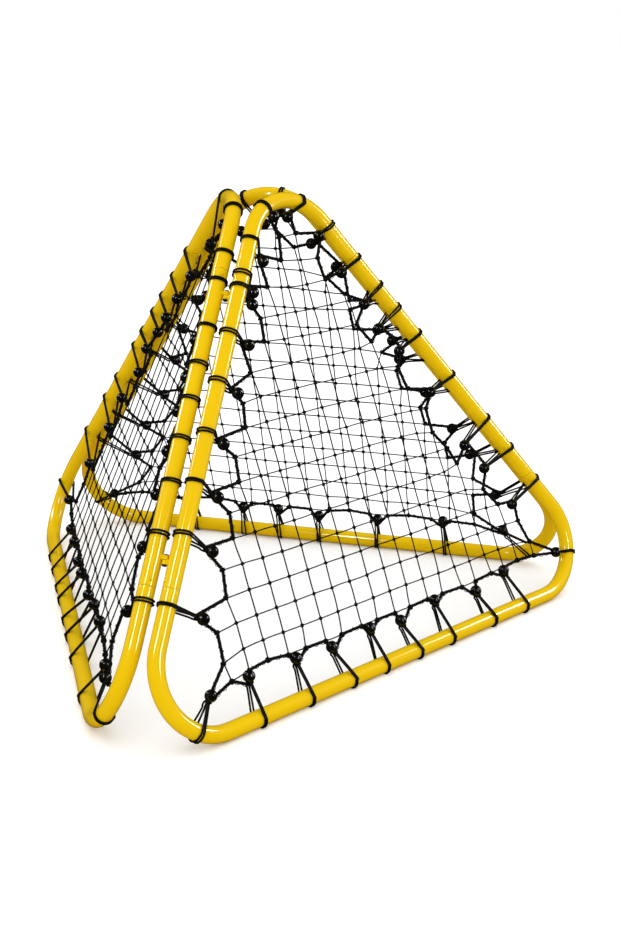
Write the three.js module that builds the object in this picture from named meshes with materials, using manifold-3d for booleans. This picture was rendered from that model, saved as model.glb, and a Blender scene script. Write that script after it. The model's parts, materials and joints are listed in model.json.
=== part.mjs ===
// Pitch back rebounder: three rounded triangular tube panels, each with its own net,
// hinged edge to edge into a three-sided pyramid. Millimetres, +Z up, origin on the
// floor at the centre of the footprint.

import * as THREE from 'three';
import { mergeVertices } from 'three/addons/utils/BufferGeometryUtils.js';
import Module from 'manifold-3d';

// Panel: the centre lines of the tubes make a triangle with rounded corners.
const TUBE_DIAMETER = 38;
const TUBE_WALL = 1.5;
const TUBE_FACETS = 16;
const HALF_BASE = 808; // half the base of the triangle, to its sharp corner
const LEAN = THREE.MathUtils.degToRad(22.5); // panel from the vertical, one facet of the tube
const CORNER_RADIUS = 140; // centre line of the two lower bends
const CROWN_RADIUS = 134; // centre line of the top bend
const LOWER_ARM = 123.5; // straight end of a lower bend, up to the push-fit seam
const UPPER_ARM = 114; // straight ends of the top bend, down to the push-fit seams
const BEND_STEPS = 6;
const EDGE_SPACING = 54; // between the centre lines of two neighbouring side tubes
const GAP = 0.3; // between pieces that touch on the real object
const CUT_MARGIN = 1; // how far a cutter runs past the face that it cuts
const WELD_DISTANCE = 1e-3; // vertices nearer than this are one vertex

// Push-fit joint: a reduced end slides into the side tube and a sprung button holds it.
const SPIGOT_RADIUS = 17.1;
const SPIGOT_BORE = 15.6;
const SPIGOT_LENGTH = 38;
const SPIGOT_FACETS = 12;
const COLLAR_RADIUS = 18.2;
const COLLAR_LENGTH = 12;
const BUTTON_SETBACK = 15; // from the seam to the button
const BUTTON_RADIUS = 4;
const BUTTON_HOLE_RADIUS = 4.5;
const BUTTON_FACETS = 8;
const BORE_START = 12.6; // the button's bore starts here, from the tube's centre line
const BORE_LENGTH = 10;
const BUTTON_TIP = 21.2; // from the tube's centre line
const BUTTON_FOOT = 12.8;
const LEAF_LENGTH = 34;
const LEAF_WIDTH = 9;
const LEAF_THICKNESS = 1;
const LEAF_SINK = 0.2; // how far the leaf reaches in under the button's foot

// Hinge: two knuckles and a headed pin, in the gap between two side tubes.
const HINGE_LOWER = 447; // up the side tube, from the triangle's sharp corner
const HINGE_UPPER = 1083;
const KNUCKLE_RADIUS = 7;
const KNUCKLE_LENGTH = 9.7;
const SADDLE_WIDTH = 16;
const SADDLE_REACH = 13;
const SADDLE_FRONT = 3;
const SADDLE_CUT_FACETS = 36;
const PIN_RADIUS = 3;
const PIN_HEAD_RADIUS = 5.6;
const PIN_HEAD_LENGTH = 2.6;
const HINGE_FACETS = 12;
const PIN_FACETS = 8;

// Net: a flat sheet inside a border rope that the bungees pull out into scallops.
const NET_THICKNESS = 3;
const NET_CENTRE_Y = 400;
const NET_CLEARANCE = 6; // from the rope's centre line to the sheet
const ROPE_RADIUS = 3;
const ROPE_FACETS = 5;
const ROPE_END_GAP = 8; // between the rope's two tied ends
const SCALLOP_DEPTH = 26;
const SCALLOP_SHARE = 1 / 3; // the deepest scallop, as a share of the space between two crests
const BASE_CRESTS = 8;
const LAST_BASE_CREST = 450; // from the middle of the bottom rail
const ROPE_BASE_OFFSET = 98; // crests from the bottom rail's centre line
const SIDE_CRESTS = 9;
const FIRST_SIDE_CREST = 352; // up the side tube, from the triangle's sharp corner
const LAST_SIDE_CREST = 1222;
const ROPE_LOWER_OFFSET = 106; // first side crest from the side tube's centre line
const ROPE_UPPER_OFFSET = 62; // last side crest from the side tube's centre line
const CORNER_CREST_X = 560;
const CORNER_CREST_Y = 98;
const CROWN_CREST_X = 28;
const CROWN_CREST_Y = 1064;

const TUBE_RADIUS = TUBE_DIAMETER / 2;
const CORNER_TO_CIRCLE = 1 / Math.cos(Math.PI / TUBE_FACETS);
const BASE_ANGLE = Math.atan(1 / (Math.sqrt(3) * Math.sin(LEAN))); // keeps neighbouring sides parallel
const SIDE_LENGTH = HALF_BASE / Math.cos(BASE_ANGLE);
const APEX_HEIGHT = HALF_BASE * Math.tan(BASE_ANGLE);
const CORNER_TANGENT = CORNER_RADIUS / Math.tan(BASE_ANGLE / 2);
const CROWN_TANGENT = CROWN_RADIUS * Math.tan(BASE_ANGLE);
const LOWER_SEAM = CORNER_TANGENT + LOWER_ARM;
const UPPER_SEAM = SIDE_LENGTH - CROWN_TANGENT - UPPER_ARM;
const OUTWARD_TURN = Math.PI / 2 - BASE_ANGLE; // direction square to the right side tube

// Half the angle between two panels, seen along the edge that they share.
const HALF_DIHEDRAL = Math.acos(
  Math.sqrt((1 - Math.sin(LEAN) ** 2 + Math.cos(LEAN) ** 2 / 2) / 2),
);
const EDGE_INSET = EDGE_SPACING / 2 / Math.sin(HALF_DIHEDRAL);
const GROUND_HALF_BASE = HALF_BASE + EDGE_INSET / Math.sin(BASE_ANGLE);
const PANEL_DISTANCE = GROUND_HALF_BASE / Math.sqrt(3); // from the middle of the three panels

const wasm = await Module();
wasm.setup();

const YELLOW = { color: 0xe2bd08, roughness: 0.28, metalness: 0.0 };
const BLACK_NYLON = { color: 0x121212, roughness: 0.7, metalness: 0.0 };
const BLACK_ROPE = { color: 0x0e0e0e, roughness: 0.85, metalness: 0.0 };
const ZINC = { color: 0xb9bcc0, roughness: 0.35, metalness: 1.0 };

function namedMesh(name, geometry, look) {
  const mesh = new THREE.Mesh(geometry, new THREE.MeshStandardMaterial(look));
  mesh.name = name;
  return mesh;
}

function solidOf(geometry) {
  const bare = geometry.clone();
  bare.deleteAttribute('normal');
  bare.deleteAttribute('uv');
  const merged = mergeVertices(bare, WELD_DISTANCE);
  return new wasm.Manifold(
    new wasm.Mesh({
      numProp: 3,
      vertProperties: new Float32Array(merged.attributes.position.array),
      triVerts: new Uint32Array(merged.index.array),
    }),
  );
}

function geometryOf(solid) {
  const mesh = solid.getMesh();
  const geometry = new THREE.BufferGeometry();
  geometry.setAttribute('position', new THREE.BufferAttribute(mesh.vertProperties, 3));
  geometry.setIndex(new THREE.BufferAttribute(mesh.triVerts, 1));
  return geometry;
}

// A path whose points are kept as given, one section of the extrusion at each.
class PointPath extends THREE.Curve {
  constructor(points, tangents) {
    super();
    this.points = points;
    this.tangents = tangents;
  }

  get steps() {
    return this.points.length - 1;
  }

  getPointAt(u, target = new THREE.Vector3()) {
    return target.copy(this.points[Math.round(u * this.steps)]);
  }

  getTangentAt(u, target = new THREE.Vector3()) {
    return target.copy(this.tangents[Math.round(u * this.steps)]);
  }
}

// Regular outline with a facet square to the X axis, sized across its flats.
function facetOutline(outline, apothem, facets) {
  const radius = apothem / Math.cos(Math.PI / facets);
  for (let i = 0; i < facets; i += 1) {
    const angle = ((i + 0.5) * 2 * Math.PI) / facets;
    const x = radius * Math.cos(angle);
    const y = radius * Math.sin(angle);
    if (i === 0) outline.moveTo(x, y);
    else outline.lineTo(x, y);
  }
  outline.closePath();
  return outline;
}

function tubeSection() {
  const section = facetOutline(new THREE.Shape(), TUBE_RADIUS, TUBE_FACETS);
  section.holes.push(facetOutline(new THREE.Path(), TUBE_RADIUS - TUBE_WALL, TUBE_FACETS));
  return section;
}

// Cylinder along Z with its base at z.
function rod(radius, z, length, facets) {
  const geometry = new THREE.CylinderGeometry(radius, radius, length, facets);
  geometry.rotateX(Math.PI / 2);
  geometry.translate(0, 0, z + length / 2);
  return geometry;
}

// Round cutter that points along +X from the tube's wall, for a button.
function buttonBore(z) {
  const bore = rod(BUTTON_HOLE_RADIUS, BORE_START, BORE_LENGTH, BUTTON_FACETS);
  bore.rotateY(Math.PI / 2);
  bore.translate(0, 0, z);
  return solidOf(bore);
}

// Points and directions in the plane of a panel. side is -1 for left and 1 for right,
// seen from outside the pyramid.
function sideDirection(side) {
  return new THREE.Vector3(-side * Math.cos(BASE_ANGLE), Math.sin(BASE_ANGLE), 0);
}

function sideOutward(side) {
  return new THREE.Vector3(side * Math.sin(BASE_ANGLE), Math.cos(BASE_ANGLE), 0);
}

function sidePoint(side, distance) {
  const corner = new THREE.Vector3(side * HALF_BASE, 0, 0);
  return corner.addScaledVector(sideDirection(side), distance);
}

function placeAlong(object, position, zAxis, xAxis) {
  const yAxis = new THREE.Vector3().crossVectors(zAxis, xAxis);
  object.setRotationFromMatrix(new THREE.Matrix4().makeBasis(xAxis, yAxis, zAxis));
  object.position.copy(position);
  return object;
}

// Straight bottom rail between the two lower bends.
function baseRail(name) {
  const length = 2 * (HALF_BASE - CORNER_TANGENT) - GAP;
  const geometry = new THREE.ExtrudeGeometry(tubeSection(), { depth: length, steps: 1, bevelEnabled: false });
  geometry.translate(0, 0, -length / 2);
  const mesh = namedMesh(name, geometry, YELLOW);
  return placeAlong(mesh, new THREE.Vector3(), new THREE.Vector3(1, 0, 0), new THREE.Vector3(0, 1, 0));
}

// Straight side tube with a button hole near each end, on the outer side.
function sideTube(name, side) {
  const length = UPPER_SEAM - LOWER_SEAM - GAP;
  const plain = new THREE.ExtrudeGeometry(tubeSection(), { depth: length, steps: 1, bevelEnabled: false });
  const drilled = solidOf(plain)
    .subtract(buttonBore(BUTTON_SETBACK))
    .subtract(buttonBore(length - BUTTON_SETBACK));
  const mesh = namedMesh(name, geometryOf(drilled), YELLOW);
  return placeAlong(mesh, sidePoint(side, LOWER_SEAM + GAP / 2), sideDirection(side), sideOutward(side));
}

// Centre line of a bend around the origin, with straight arms before and after the arc.
function bendPath(radius, startAngle, endAngle, startArm, endArm) {
  const points = [];
  const tangents = [];
  const add = (angle, along) => {
    const tangent = new THREE.Vector3(-Math.sin(angle), Math.cos(angle), 0);
    const point = new THREE.Vector3(radius * Math.cos(angle), radius * Math.sin(angle), 0);
    points.push(point.addScaledVector(tangent, along));
    tangents.push(tangent);
  };
  if (startArm > 0) add(startAngle, -startArm);
  for (let i = 0; i <= BEND_STEPS; i += 1) {
    add(THREE.MathUtils.lerp(startAngle, endAngle, i / BEND_STEPS), 0);
  }
  if (endArm > 0) add(endAngle, endArm);
  return new PointPath(points, tangents);
}

// Reduced end that starts inside the arm's wall and stands out past the seam.
function spigot(seam, direction, outward) {
  const profile = [
    new THREE.Vector2(SPIGOT_BORE, -COLLAR_LENGTH),
    new THREE.Vector2(COLLAR_RADIUS, -COLLAR_LENGTH),
    new THREE.Vector2(SPIGOT_RADIUS, 0),
    new THREE.Vector2(SPIGOT_RADIUS, SPIGOT_LENGTH),
    new THREE.Vector2(SPIGOT_BORE, SPIGOT_LENGTH),
    new THREE.Vector2(SPIGOT_BORE, -COLLAR_LENGTH),
  ];
  const turned = new THREE.LatheGeometry(profile, SPIGOT_FACETS);
  turned.rotateX(Math.PI / 2);
  turned.rotateZ(Math.PI / SPIGOT_FACETS);
  const drilled = solidOf(turned).subtract(buttonBore(BUTTON_SETBACK + GAP / 2));
  const placed = geometryOf(drilled);
  const holder = placeAlong(new THREE.Object3D(), seam, direction, outward);
  holder.updateMatrix();
  placed.applyMatrix4(holder.matrix);
  return solidOf(placed);
}

function bend(name, centre, path, spigots) {
  const swept = new THREE.ExtrudeGeometry(tubeSection(), { steps: path.steps, extrudePath: path });
  let solid = solidOf(swept);
  for (const { end, outward } of spigots) {
    const index = end === 'start' ? 0 : path.steps;
    const direction = path.tangents[index].clone().multiplyScalar(end === 'start' ? -1 : 1);
    const seam = path.points[index];
    solid = solid.add(spigot(seam, direction, outward));
  }
  const mesh = namedMesh(name, geometryOf(solid), YELLOW);
  mesh.position.copy(centre);
  return mesh;
}

// Lower bend: it turns from the bottom rail up into the side tube.
function cornerBend(name, side) {
  const centre = new THREE.Vector3(side * (HALF_BASE - CORNER_TANGENT), CORNER_RADIUS, 0);
  const outward = sideOutward(side);
  const halfGap = GAP / 2;
  if (side > 0) {
    const path = bendPath(CORNER_RADIUS, -Math.PI / 2, OUTWARD_TURN, 0, LOWER_ARM - halfGap);
    return bend(name, centre, path, [{ end: 'end', outward }]);
  }
  const path = bendPath(CORNER_RADIUS, Math.PI - OUTWARD_TURN, 1.5 * Math.PI, LOWER_ARM - halfGap, 0);
  return bend(name, centre, path, [{ end: 'start', outward }]);
}

// Top bend, with a reduced end down each side.
function crownBend(name) {
  const centre = new THREE.Vector3(0, APEX_HEIGHT - CROWN_RADIUS / Math.cos(BASE_ANGLE), 0);
  const arm = UPPER_ARM - GAP / 2;
  const path = bendPath(CROWN_RADIUS, OUTWARD_TURN, Math.PI - OUTWARD_TURN, arm, arm);
  return bend(name, centre, path, [
    { end: 'start', outward: sideOutward(1) },
    { end: 'end', outward: sideOutward(-1) },
  ]);
}

// Snap button on its spring leaf, which lies along the inside of the reduced end.
function button(name, side, distance) {
  const stem = rod(BUTTON_RADIUS, BUTTON_FOOT, BUTTON_TIP - BUTTON_FOOT, BUTTON_FACETS);
  stem.rotateY(Math.PI / 2);
  const leaf = new THREE.BoxGeometry(LEAF_THICKNESS, LEAF_WIDTH, LEAF_LENGTH);
  leaf.translate(BUTTON_FOOT + LEAF_THICKNESS / 2 - LEAF_SINK, 0, 0);
  const mesh = namedMesh(name, geometryOf(solidOf(stem).add(solidOf(leaf))), ZINC);
  return placeAlong(mesh, sidePoint(side, distance), sideDirection(side), sideOutward(side));
}

// Direction from a side tube's centre line to the hinge axis beside it.
function towardsHinge(side) {
  const direction = sideOutward(side).multiplyScalar(Math.sin(HALF_DIHEDRAL));
  return direction.add(new THREE.Vector3(0, 0, -Math.cos(HALF_DIHEDRAL)));
}

function hingePoint(side, distance) {
  return sidePoint(side, distance).addScaledVector(towardsHinge(side), EDGE_SPACING / 2);
}

// Knuckle: a barrel on a saddle that is welded to the side tube. It fills one half of the
// hinge, above (level 1) or below (level -1) the middle.
function knuckle(name, side, distance, level) {
  const bottom = level > 0 ? GAP : -GAP - KNUCKLE_LENGTH;
  const saddle = new THREE.BoxGeometry(SADDLE_REACH - SADDLE_FRONT, SADDLE_WIDTH, KNUCKLE_LENGTH);
  saddle.translate(-(SADDLE_REACH + SADDLE_FRONT) / 2, 0, bottom + KNUCKLE_LENGTH / 2);
  const cutBottom = bottom - CUT_MARGIN;
  const cutLength = KNUCKLE_LENGTH + 2 * CUT_MARGIN;
  const tube = rod(TUBE_RADIUS * CORNER_TO_CIRCLE + GAP, cutBottom, cutLength, SADDLE_CUT_FACETS);
  tube.translate(-EDGE_SPACING / 2, 0, 0);
  const barrel = rod(KNUCKLE_RADIUS, bottom, KNUCKLE_LENGTH, HINGE_FACETS);
  const bore = rod(PIN_RADIUS + 2 * GAP, cutBottom, cutLength, PIN_FACETS);
  const solid = solidOf(saddle).add(solidOf(barrel)).subtract(solidOf(tube)).subtract(solidOf(bore));
  const mesh = namedMesh(name, geometryOf(solid), YELLOW);
  return placeAlong(mesh, hingePoint(side, distance), sideDirection(side), towardsHinge(side));
}

// Headed pin through both knuckles. A drawn pin stands in the upper knuckle only.
function hingePin(name, side, distance, drawn) {
  const top = GAP + KNUCKLE_LENGTH + GAP;
  const bottom = drawn ? GAP : -top;
  const profile = [new THREE.Vector2(0, bottom - (drawn ? 0 : PIN_HEAD_LENGTH))];
  if (!drawn) {
    profile.push(new THREE.Vector2(PIN_HEAD_RADIUS, bottom - PIN_HEAD_LENGTH));
    profile.push(new THREE.Vector2(PIN_HEAD_RADIUS, bottom));
  }
  profile.push(new THREE.Vector2(PIN_RADIUS, bottom));
  profile.push(new THREE.Vector2(PIN_RADIUS, top));
  profile.push(new THREE.Vector2(PIN_HEAD_RADIUS, top));
  profile.push(new THREE.Vector2(PIN_HEAD_RADIUS, top + PIN_HEAD_LENGTH));
  profile.push(new THREE.Vector2(0, top + PIN_HEAD_LENGTH));
  const geometry = new THREE.LatheGeometry(profile, PIN_FACETS);
  geometry.rotateX(Math.PI / 2);
  const mesh = namedMesh(name, geometry, BLACK_NYLON);
  return placeAlong(mesh, hingePoint(side, distance), sideDirection(side), towardsHinge(side));
}

// Crests of the border rope, one at each bungee, from the middle of the bottom rail round
// by the right side, the crown and the left side.
function ropeCrests() {
  const crests = [];
  const addBase = (from, to) => {
    for (let i = 0; i < BASE_CRESTS / 2; i += 1) {
      const x = THREE.MathUtils.lerp(from, to, i / (BASE_CRESTS / 2 - 1));
      crests.push(new THREE.Vector3(x, ROPE_BASE_OFFSET, 0));
    }
  };
  const addSide = (side, fraction) => {
    const distance = THREE.MathUtils.lerp(FIRST_SIDE_CREST, LAST_SIDE_CREST, fraction);
    const offset = THREE.MathUtils.lerp(ROPE_LOWER_OFFSET, ROPE_UPPER_OFFSET, fraction);
    crests.push(sidePoint(side, distance).addScaledVector(sideOutward(side), -offset));
  };
  const spacing = (2 * LAST_BASE_CREST) / (BASE_CRESTS - 1);
  addBase(spacing / 2, LAST_BASE_CREST);
  crests.push(new THREE.Vector3(CORNER_CREST_X, CORNER_CREST_Y, 0));
  for (let i = 0; i < SIDE_CRESTS; i += 1) addSide(1, i / (SIDE_CRESTS - 1));
  crests.push(new THREE.Vector3(CROWN_CREST_X, CROWN_CREST_Y, 0));
  crests.push(new THREE.Vector3(-CROWN_CREST_X, CROWN_CREST_Y, 0));
  for (let i = SIDE_CRESTS - 1; i >= 0; i -= 1) addSide(-1, i / (SIDE_CRESTS - 1));
  crests.push(new THREE.Vector3(-CORNER_CREST_X, CORNER_CREST_Y, 0));
  addBase(-LAST_BASE_CREST, -spacing / 2);
  return crests;
}

// The hollow after each crest, half way to the next one and drawn in towards the net.
function ropeHollows(crests) {
  const centre = new THREE.Vector3(0, NET_CENTRE_Y, 0);
  return crests.map((crest, i) => {
    const next = crests[(i + 1) % crests.length];
    const middle = new THREE.Vector3().lerpVectors(crest, next, 0.5);
    const inward = new THREE.Vector3().subVectors(centre, middle).normalize();
    const depth = Math.min(SCALLOP_DEPTH, crest.distanceTo(next) * SCALLOP_SHARE);
    return middle.addScaledVector(inward, depth);
  });
}

// Border rope, one length whose two ends meet at the middle of the bottom rail.
function borderRope(name) {
  const crests = ropeCrests();
  const hollows = ropeHollows(crests);
  const tiedEnds = hollows[crests.length - 1];
  const halfGap = new THREE.Vector3(ROPE_END_GAP / 2, 0, 0);
  const points = [tiedEnds.clone().add(halfGap)];
  crests.forEach((crest, i) => {
    points.push(crest);
    if (i < crests.length - 1) points.push(hollows[i]);
  });
  points.push(tiedEnds.clone().sub(halfGap));
  const last = points.length - 1;
  const tangents = points.map((_, i) => {
    const before = points[Math.max(i - 1, 0)];
    const after = points[Math.min(i + 1, last)];
    return new THREE.Vector3().subVectors(after, before).normalize();
  });
  const path = new PointPath(points, tangents);
  const section = facetOutline(new THREE.Shape(), ROPE_RADIUS, ROPE_FACETS);
  const geometry = new THREE.ExtrudeGeometry(section, { steps: path.steps, extrudePath: path });
  return namedMesh(name, geometry, BLACK_ROPE);
}

// The net as one plain flat sheet, just inside the rope's hollows.
function netSheet(name) {
  const centre = new THREE.Vector3(0, NET_CENTRE_Y, 0);
  const outline = new THREE.Shape();
  ropeHollows(ropeCrests()).forEach((hollow, i) => {
    const inward = new THREE.Vector3().subVectors(centre, hollow).normalize();
    const point = hollow.clone().addScaledVector(inward, NET_CLEARANCE);
    if (i === 0) outline.moveTo(point.x, point.y);
    else outline.lineTo(point.x, point.y);
  });
  outline.closePath();
  const extrusion = { depth: NET_THICKNESS, steps: 1, bevelEnabled: false };
  const geometry = new THREE.ExtrudeGeometry(outline, extrusion);
  geometry.translate(0, 0, -NET_THICKNESS / 2);
  return namedMesh(name, geometry, BLACK_ROPE);
}

function sideName(side) {
  return side > 0 ? 'right' : 'left';
}

// One panel in its own plane: X along the bottom rail, Y up the panel, Z outward.
function panel(name) {
  const group = new THREE.Group();
  group.add(baseRail(`${name}_base_rail`));
  group.add(crownBend(`${name}_crown`));
  for (const side of [-1, 1]) {
    group.add(cornerBend(`${name}_corner_${sideName(side)}`, side));
    group.add(sideTube(`${name}_side_${sideName(side)}`, side));
    group.add(button(`${name}_button_lower_${sideName(side)}`, side, LOWER_SEAM + BUTTON_SETBACK));
    group.add(button(`${name}_button_upper_${sideName(side)}`, side, UPPER_SEAM - BUTTON_SETBACK));
  }
  group.add(netSheet(`${name}_net`));
  group.add(borderRope(`${name}_net_border`));
  return group;
}

// Hinges of one edge: upper knuckles on the panel to its left, lower knuckles on the panel
// to its right. On the edge that opens, the pins are drawn up out of the lower knuckles.
function addHinges(edge, leftPanel, rightPanel, opens) {
  for (const [place, distance] of [['lower', HINGE_LOWER], ['upper', HINGE_UPPER]]) {
    const name = `${edge}_edge_${place}_hinge`;
    leftPanel.add(knuckle(`${name}_knuckle_left`, 1, distance, 1));
    rightPanel.add(knuckle(`${name}_knuckle_right`, -1, distance, -1));
    if (opens) leftPanel.add(hingePin(`${name}_pin`, 1, distance, true));
    else rightPanel.add(hingePin(`${name}_pin`, -1, distance, false));
  }
}

// Stands a panel on its bottom rail, leaning in, with its outside facing the given heading.
function standPanel(content, heading) {
  const lean = new THREE.Group();
  lean.rotation.x = Math.PI / 2 - LEAN;
  lean.add(content);
  const stand = new THREE.Group();
  stand.rotation.z = heading + Math.PI / 2;
  stand.position.set(
    PANEL_DISTANCE * Math.cos(heading),
    PANEL_DISTANCE * Math.sin(heading),
    TUBE_RADIUS,
  );
  stand.add(lean);
  return stand;
}

function rebounder() {
  const frontRight = panel('front_right');
  const frontLeft = panel('front_left');
  const rear = panel('rear');
  addHinges('front', frontLeft, frontRight, false);
  addHinges('right', frontRight, rear, false);
  addHinges('left', rear, frontLeft, true);
  const panels = new THREE.Group();
  panels.add(standPanel(frontRight, THREE.MathUtils.degToRad(-30)));
  panels.add(standPanel(frontLeft, THREE.MathUtils.degToRad(210)));
  panels.add(standPanel(rear, THREE.MathUtils.degToRad(90)));
  const box = new THREE.Box3().setFromObject(panels, true);
  panels.position.y = -(box.min.y + box.max.y) / 2;
  const group = new THREE.Group();
  group.add(panels);
  return group;
}

export default rebounder();
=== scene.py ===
"""A pitch back rebounder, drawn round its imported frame. Metres, +Z up."""

import json
import math
import random

import bpy
import numpy as np
from mathutils import Matrix, Vector


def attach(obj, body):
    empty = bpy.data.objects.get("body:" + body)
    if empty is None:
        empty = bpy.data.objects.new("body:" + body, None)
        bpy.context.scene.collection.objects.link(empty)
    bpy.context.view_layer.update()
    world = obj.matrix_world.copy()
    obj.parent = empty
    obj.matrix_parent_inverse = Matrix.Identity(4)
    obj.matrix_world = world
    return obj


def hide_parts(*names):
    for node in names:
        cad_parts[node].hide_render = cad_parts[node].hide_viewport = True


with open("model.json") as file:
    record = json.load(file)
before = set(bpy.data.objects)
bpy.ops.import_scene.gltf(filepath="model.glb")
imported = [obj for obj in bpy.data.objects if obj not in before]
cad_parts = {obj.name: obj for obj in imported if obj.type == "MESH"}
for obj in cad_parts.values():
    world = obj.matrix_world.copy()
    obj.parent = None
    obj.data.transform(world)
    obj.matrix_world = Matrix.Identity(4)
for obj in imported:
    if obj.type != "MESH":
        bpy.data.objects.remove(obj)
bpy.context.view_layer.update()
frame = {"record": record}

# The panel's tubes, as in the CAD model.
TUBE_RADIUS = 0.019
TUBE_WALL = 0.0015
HALF_BASE = 0.808  # half the base of the panel's triangle, to its sharp corner
LEAN = math.radians(22.5)  # of a panel from the vertical
CORNER_RADIUS = 0.140
CROWN_RADIUS = 0.134
LOWER_ARM = 0.1235
UPPER_ARM = 0.114
EDGE_SPACING = 0.054  # between the centre lines of neighbouring side tubes
SEAM_GAP = 0.0006
SPIGOT_RADIUS = 0.0171
SPIGOT_LENGTH = 0.038
RIM_ROUND = 0.0008  # rounded edge of a tube's end
TUBE_SIDES = 48
SMALL_SIDES = 24  # round buttons, pins and balls
BEND_STEPS = 26
ROUND_STEPS = 3  # on a small rounded edge
SHARP_ANGLE = math.radians(40)

BUTTON_SETBACK = 0.015
BUTTON_HOLE_RADIUS = 0.0045
HOLE_CELLS = 3  # half the width of the square patch round a button hole, in grid cells

HINGE_LOWER = 0.447  # up the side tube, from the triangle's sharp corner
HINGE_UPPER = 1.083
KNUCKLE_RADIUS = 0.007
KNUCKLE_LENGTH = 0.0097
KNUCKLE_GAP = 0.0003
KNUCKLE_SIDES = 28
PIN_RADIUS = 0.003
PIN_HEAD_RADIUS = 0.0056
PIN_HEAD_LENGTH = 0.0026
PIN_ROUND = 0.0009

BASE_ANGLE = math.atan(1 / (math.sqrt(3) * math.sin(LEAN)))
APEX_HEIGHT = HALF_BASE * math.tan(BASE_ANGLE)
SIDE_LENGTH = HALF_BASE / math.cos(BASE_ANGLE)
CORNER_TANGENT = CORNER_RADIUS / math.tan(BASE_ANGLE / 2)
CROWN_TANGENT = CROWN_RADIUS * math.tan(BASE_ANGLE)
LOWER_SEAM = CORNER_TANGENT + LOWER_ARM
UPPER_SEAM = SIDE_LENGTH - CROWN_TANGENT - UPPER_ARM
OUTWARD_TURN = math.pi / 2 - BASE_ANGLE
HALF_DIHEDRAL = math.acos(math.sqrt((1 - math.sin(LEAN) ** 2 + math.cos(LEAN) ** 2 / 2) / 2))

# Net, border rope and ball bungees.
NET_PITCH = 0.0577
NET_ROWS = 20  # tried up the panel, and columns to either side of its middle
NET_COLUMNS = 12
TWINE_RADIUS = 0.0016
TWINE_SIDES = 6
KNOT_SIZE = 0.0026
NET_MARGIN = 0.020  # between the lowest side ball and the outermost knots
NET_MARGIN_DROP = 0.008  # how much less it is at the top
CORNER_MARGIN = 0.040  # between a corner's ball and the outermost knots, along the rail
CROWN_RISE = 0.012  # of the topmost knots above the ball beside them
TWINE_PULL = 1.0  # force per length, against the net's own stiffness and the rope's pull
NET_HOLD = 2.0
ROPE_PULL = 1.1
KNOT_SCATTER = 0.0016
TWINE_BOW = 0.0005
ROPE_RADIUS = 0.0041
STRAND_RADIUS = ROPE_RADIUS * 0.52
ROPE_STEP = 0.0016
ROPE_LAY = 0.017  # length of one turn of a strand
LASHING_LAY = 0.021  # and of the lashing
LASHING_RADIUS = 0.0007
LASHING_RISE = 0.0006  # of its centre line above the rope's strands
LASHING_WOBBLE = ((0.18, 0.13), (0.12, 0.37))  # share of its distance out, and turn at each step
CREST_GAP = 0.005  # between a ball and where the rope passes through its bungee
CREST_DROP = 0.0075  # of the rope behind a bungee's front strand, and of the back strand behind it
LINE_STEP = 0.002
CORD_RADIUS = 0.0023
CORD_GRIP = TUBE_RADIUS + CORD_RADIUS  # of its turn round the tube
CORD_SIDES = 8
FLOOR_GAP = 0.0002
BALL_RADIUS = 0.0140

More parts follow.
